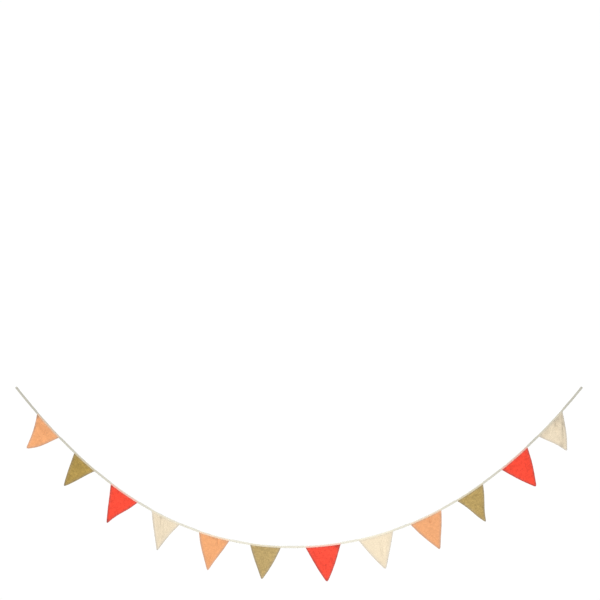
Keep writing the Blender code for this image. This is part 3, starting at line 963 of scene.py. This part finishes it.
def cloth_material(name, weave, streaks, blotches):
    """Woven cloth: threads of uneven colour and thickness, on each point's place on the cloth."""
    nodes = Nodes(name)
    place = nodes.attribute("cloth_place")
    if weave.turn:
        inputs = {"Vector": place, "Angle": weave.turn}
        place = nodes.add("ShaderNodeVectorRotate", inputs, rotation_type="Z_AXIS")
    split = nodes.tree.nodes.new("ShaderNodeSeparateXYZ")
    nodes.feed(split.inputs[0], place)
    flat_x, flat_y, layer = split.outputs
    waver = nodes.math("SUBTRACT", nodes.noise(place, WAVER_SCALE, WAVER_DETAIL), 0.5)
    x, y = (
        nodes.math("ADD", nodes.math("DIVIDE", flat, weave.pitch), nodes.times(waver, most))
        for flat, most in ((flat_x, WAVER_ACROSS), (flat_y, WAVER_DOWN))
    )
    height, on_top = plain_weave(nodes, x, y)
    thread = top_thread(nodes, x, y, layer, on_top)
    narrowed_x = nodes.times(flat_x, STREAK_NARROWING)
    narrowed_y = nodes.times(flat_y, STREAK_NARROWING)
    streak_up = nodes.noise(nodes.vector(narrowed_x, flat_y, layer), STREAK_SCALE)
    streak_over = nodes.noise(nodes.vector(flat_x, narrowed_y, layer), STREAK_SCALE)
    blotch = nodes.noise(place, BLOTCH_SCALE)
    factor = nodes.spread(thread, 1.0 - weave.slub, 1.0 + weave.slub)
    for variation, most in ((streak_up, streaks), (streak_over, streaks), (blotch, blotches)):
        factor = nodes.times(factor, nodes.spread(variation, 1.0 - most, 1.0 + most))
    # Painted shade in the gaps of the weave and painted light on the threads' tops
    factor = nodes.times(factor, nodes.spread(height, *WEAVE_PAINTED_SHADES))
    relief = nodes.math("MULTIPLY_ADD", height, HEIGHT_RELIEF, nodes.times(thread, SLUB_RELIEF))
    # The base colour carries the painted shade of the sewn edges, the tape's ends and the patches
    inputs = {
        "Base Color": nodes.scaled(nodes.attribute("dye"), factor),
        "Roughness": nodes.spread(thread, *CLOTH_ROUGHNESS),
        "Sheen Weight": CLOTH_SHEEN,
        "Sheen Roughness": CLOTH_SHEEN_ROUGHNESS,
        "Specular IOR Level": CLOTH_SPECULAR,
        "Normal": nodes.bump(relief, THREAD_DEPTH, RELIEF_STRENGTH),
    }
    nodes.shade(inputs)
    return nodes.material


def thread_material():
    """Twisted sewing cotton."""
    nodes = Nodes("sewing_thread")
    inputs = {"Vector": nodes.attribute("cloth_place"), "Scale": PLY_SCALE, "Distortion": PLY_WAVER}
    twist = nodes.add("ShaderNodeTexWave", inputs, output="Fac", bands_direction="DIAGONAL")
    # Painted shade in the grooves of the twist and painted light on its ridges
    inputs = {
        "Base Color": nodes.scaled((*THREAD_COLOUR, 1.0), nodes.spread(twist, *PLY_PAINTED_SHADES)),
        "Roughness": nodes.spread(twist, *PLY_ROUGHNESS),
        "Normal": nodes.bump(twist, PLY_DEPTH, PLY_STRENGTH),
    }
    nodes.shade(inputs)
    return nodes.material


def make_camera():
    """A long lens square to the span, as far off as its picture's width needs."""
    camera = add_object("camera", bpy.data.cameras.new("camera"))
    camera.data.lens = LENS
    camera.data.sensor_width = SENSOR
    camera.data.clip_end = CAMERA_REACH
    distance = PICTURE_SIDE * LENS / SENSOR
    camera.location = PICTURE_CENTRE - Vector((0.0, distance, 0.0))
    camera.rotation_euler = (math.radians(90), 0.0, 0.0)
    bpy.context.scene.camera = camera


def make_floor():
    """A plain pale floor that turns into the plain white all round it."""
    mesh = bpy.data.meshes.new("floor")
    disc = bmesh.new()
    bmesh.ops.create_circle(disc, cap_ends=True, segments=FLOOR_CORNERS, radius=FLOOR_RADIUS)
    disc.to_mesh(mesh)
    disc.free()
    floor = add_object("floor", mesh)
    floor.location = (SPAN / 2, 0.0, -FLOOR_DROP)
    nodes = Nodes("floor_paint")
    place = nodes.add("ShaderNodeTexCoord", output="Object")
    distance = nodes.add("ShaderNodeVectorMath", {0: place}, output="Value", operation="LENGTH")
    pales_from, pales_to = FLOOR_PALES
    ramp = {"Value": distance, "From Min": pales_from, "From Max": pales_to, "To Max": FLOOR_GLOW}
    inputs = {
        "Base Color": (*FLOOR_COLOUR, 1.0),
        "Roughness": FLOOR_ROUGHNESS,
        "Emission Color": WHITE,
        "Emission Strength": nodes.add("ShaderNodeMapRange", ramp, interpolation_type="SMOOTHSTEP"),
    }
    nodes.shade(inputs)
    mesh.materials.append(nodes.material)


def make_lights():
    """A plain studio: white all round, and broad suns that each shine along their own aim."""
    world = bpy.data.worlds.new("studio")
    bpy.context.scene.world = world
    world.use_nodes = True
    tree = world.node_tree
    path = tree.nodes.new("ShaderNodeLightPath")
    seen = tree.nodes.new("ShaderNodeMapRange")
    seen.inputs["To Min"].default_value = AMBIENT
    seen.inputs["To Max"].default_value = BACKGROUND
    tree.links.new(path.outputs["Is Camera Ray"], seen.inputs["Value"])
    tree.links.new(seen.outputs["Result"], tree.nodes["Background"].inputs["Strength"])
    tree.nodes["Background"].inputs["Color"].default_value = WHITE
    for sun in SUNS:
        light = add_object(sun.name, bpy.data.lights.new(sun.name, "SUN"))
        light.data.angle = math.radians(sun.degrees)
        light.data.energy = sun.strength
        light.rotation_mode = "QUATERNION"
        light.rotation_quaternion = Vector(sun.aim).to_track_quat("-Z", "Y")


def add_tape(line):
    """The tape, with a row of stitches on its front and one on its back."""
    tape = make_tape(line)
    cotton = cloth_material("tape_cotton", TAPE_WEAVE, TAPE_STREAKS, TAPE_BLOTCHES)
    tape.data.materials.append(cotton)
    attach(tape, BODY)
    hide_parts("tape")
    thread = thread_material()
    for name, side in (("tape_stitches_front", -1), ("tape_stitches_rear", 1)):
        stitches = make_stitches(line, name, side)
        stitches.data.materials.append(thread)
        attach(stitches, BODY)
    return tape


def add_pennants(line):
    """The pennants, each with its top edge between the tape's two leaves."""
    materials = {
        name: cloth_material(f"{name}_cloth", PENNANT_WEAVE, dye.streaks, dye.blotches)
        for name, dye in DYES_AND_EDGE_SHADES.items()
    }
    for number, row in enumerate(PENNANTS, start=1):
        pennant = make_pennant(line, number)
        pennant.data.materials.append(materials[row.colour])
        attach(pennant, BODY)
        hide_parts(f"pennant_{number:02d}_{row.colour}")


def main():
    """The camera, the bunting, the floor and the lights."""
    bpy.context.scene.view_settings.view_transform = "Standard"
    make_camera()
    line = HangingLine()
    tape = add_tape(line)
    add_pennants(line)
    make_floor()
    make_lights()


main()
